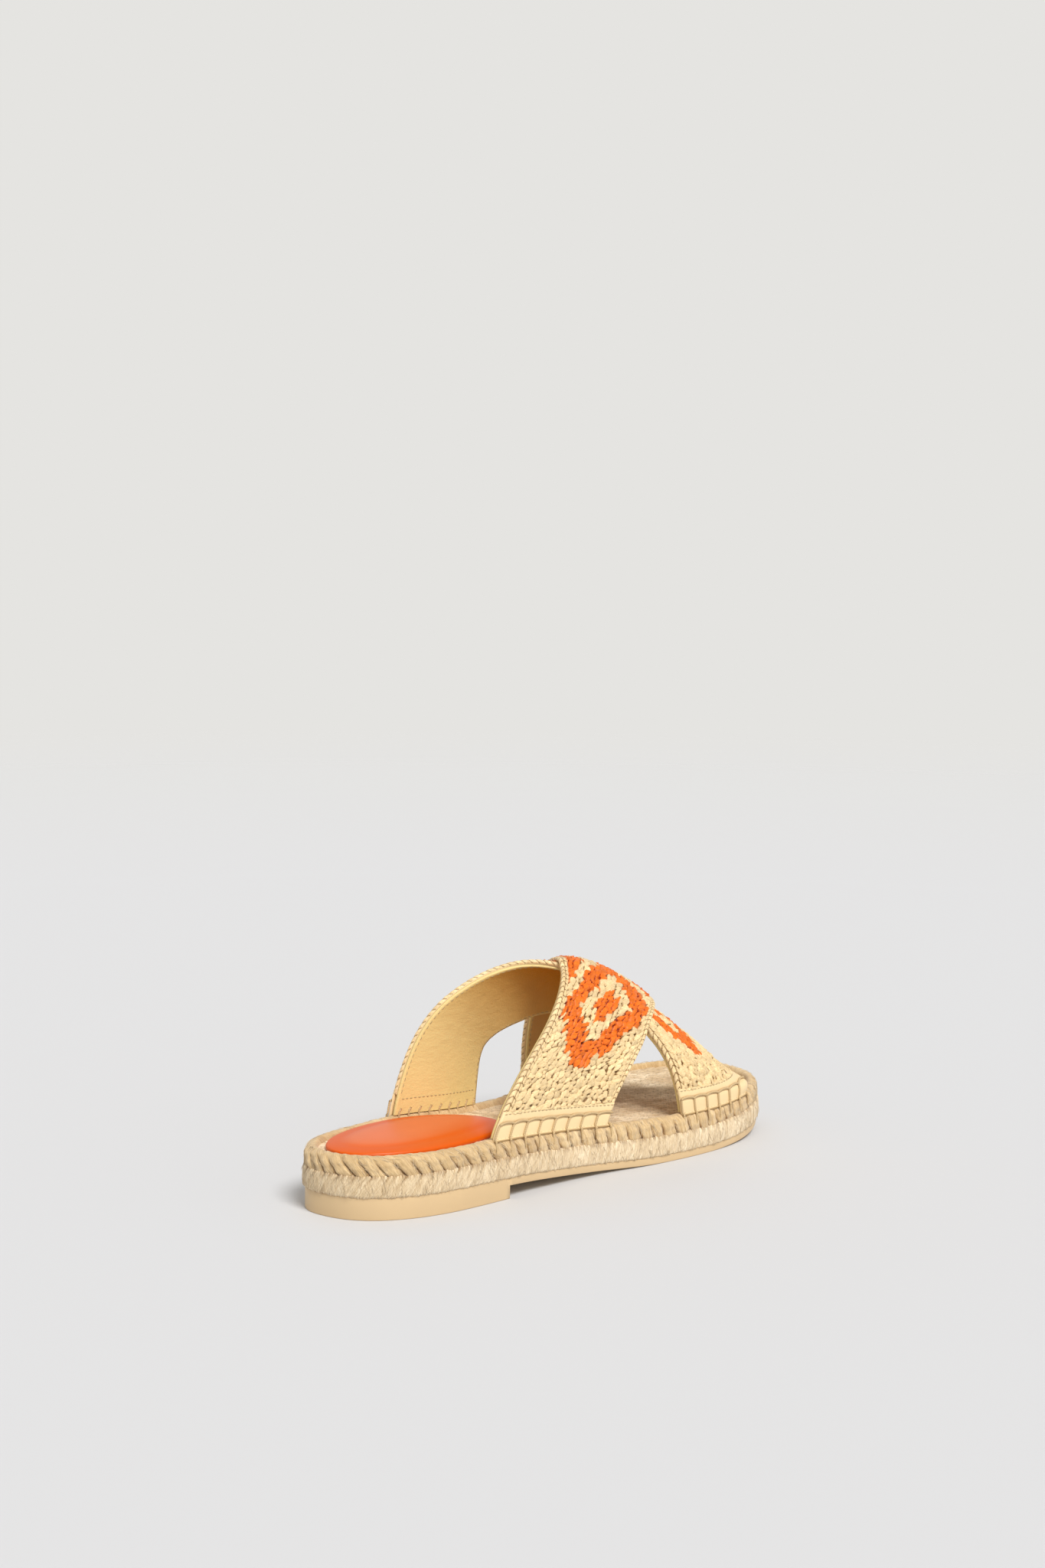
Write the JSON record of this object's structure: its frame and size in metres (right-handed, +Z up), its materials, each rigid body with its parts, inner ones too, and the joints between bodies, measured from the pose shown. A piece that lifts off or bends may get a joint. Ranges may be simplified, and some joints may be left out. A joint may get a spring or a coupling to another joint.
{
  "type": "slide sandal",
  "caption": "Crossed-strap slide sandal with crocheted leather-backed straps, a jute rope sole, a low rubber heel and a padded leather heel cushion",
  "frame": {"origin": "on the floor under the middle of the sandal's box", "axes": "+X from heel to toe, +Y towards the big-toe side, +Z up"},
  "size_m": [0.25, 0.0916, 0.0877],
  "materials": {
    "sole_rubber": "smooth matte tan rubber",
    "pale_jute": "pale twisted jute rope with fine upright strands",
    "braided_jute": "coarse natural jute braid",
    "woven_jute": "coarse woven jute",
    "orange_leather": "glossy orange leather",
    "crocheted_raffia": "straw-coloured crocheted raffia with an orange motif",
    "tan_leather": "smooth satin tan leather"
  },
  "bodies": {
    "root": {"outsole": "sole_rubber", "jute_row": "pale_jute", "jute_braid": "braided_jute", "footbed": "woven_jute", "heel_pad": "orange_leather", "upper": "crocheted_raffia", "band_heel_lateral": "tan_leather", "band_heel_medial": "tan_leather", "band_toe_lateral": "tan_leather", "band_toe_medial": "tan_leather"}
  },
  "joints": []
}
